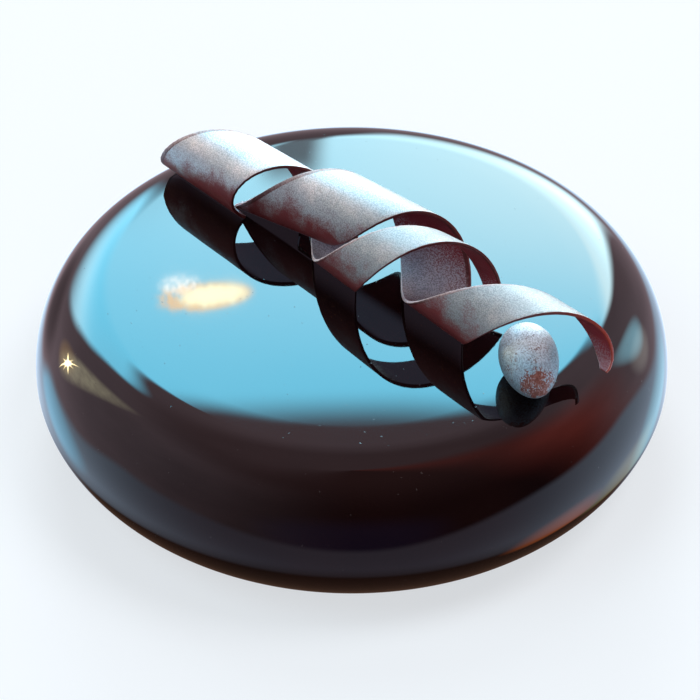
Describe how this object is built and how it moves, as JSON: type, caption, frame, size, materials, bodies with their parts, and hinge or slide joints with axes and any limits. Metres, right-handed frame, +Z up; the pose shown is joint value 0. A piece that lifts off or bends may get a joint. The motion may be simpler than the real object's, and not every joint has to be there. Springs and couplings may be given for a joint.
{
  "type": "mirror glaze cake",
  "caption": "Round mousse cake with a full rounded shoulder and dark mirror glaze, with curled chocolate ribbons and a dusted egg-shaped sweet on its flat top.",
  "frame": {"origin": "middle of the flat base, on the surface the cake stands on", "axes": "+Z up, the axis of the round cake; +X along the ribbon curl, from its wide cut end to its pointed end"},
  "size_m": [0.2, 0.2, 0.078],
  "materials": {
    "mirror_glaze": "very dark brown cocoa glaze, mirror smooth",
    "dusted_chocolate": "thin tempered chocolate with silver pearl dust on the outside, bare red-brown inside and along the edges",
    "silver_dusted_sweet": "speckled silver dust over a red-brown shell"
  },
  "bodies": {
    "root": {"glazed_cake": "mirror_glaze", "chocolate_ribbon_a": "dusted_chocolate", "chocolate_ribbon_b": "dusted_chocolate", "dusted_egg": "silver_dusted_sweet"}
  },
  "joints": []
}
